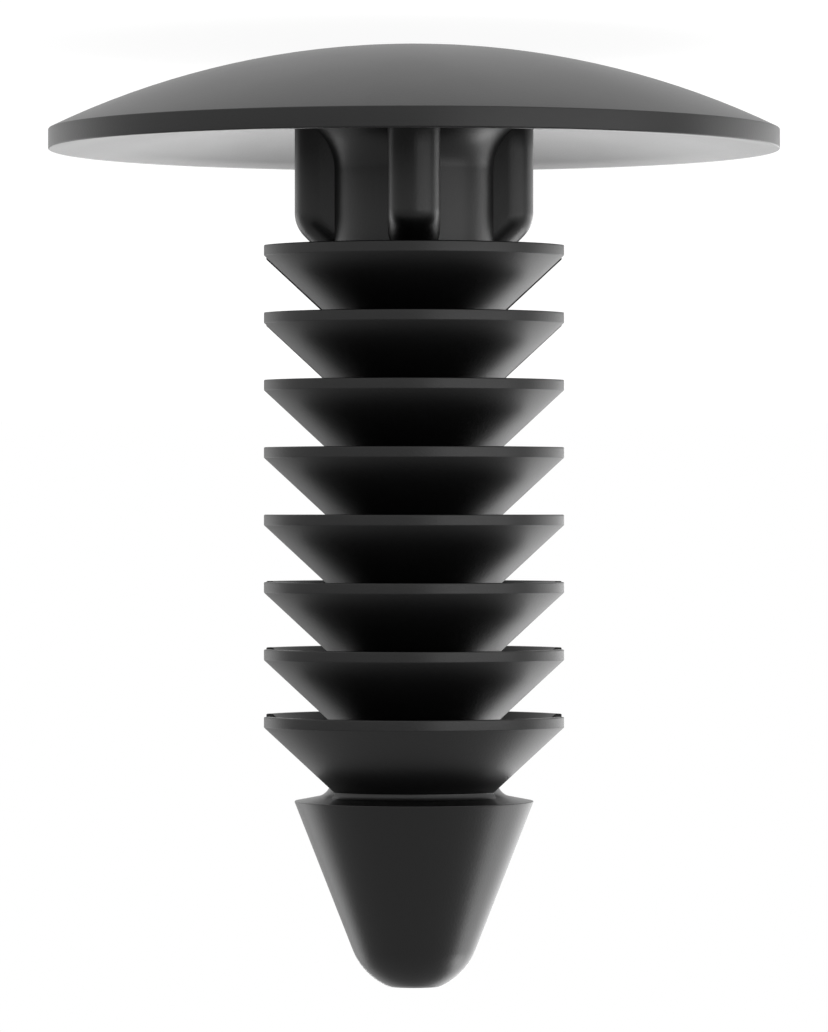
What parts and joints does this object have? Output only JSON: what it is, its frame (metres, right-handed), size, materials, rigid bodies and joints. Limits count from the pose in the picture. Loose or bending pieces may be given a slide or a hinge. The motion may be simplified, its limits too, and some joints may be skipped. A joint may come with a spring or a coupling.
{
  "type": "fir tree trim clip",
  "caption": "Push-in fir tree clip: a domed round head, a ribbed collar and a slotted stack of flexible cone fins that grips a panel hole, ending in a pointed tip.",
  "frame": {"origin": "middle of the domed head, the lowest point of the clip when it stands on its head", "axes": "+Z along the stem from the head to the tip, the way the clip is pushed in; the slot through the fins opens to +X and -X"},
  "size_m": [0.018, 0.018, 0.0232],
  "materials": {
    "nylon": "dark charcoal moulded nylon, fine matte texture"
  },
  "bodies": {
    "root": {"trim_clip": "nylon"}
  },
  "joints": []
}
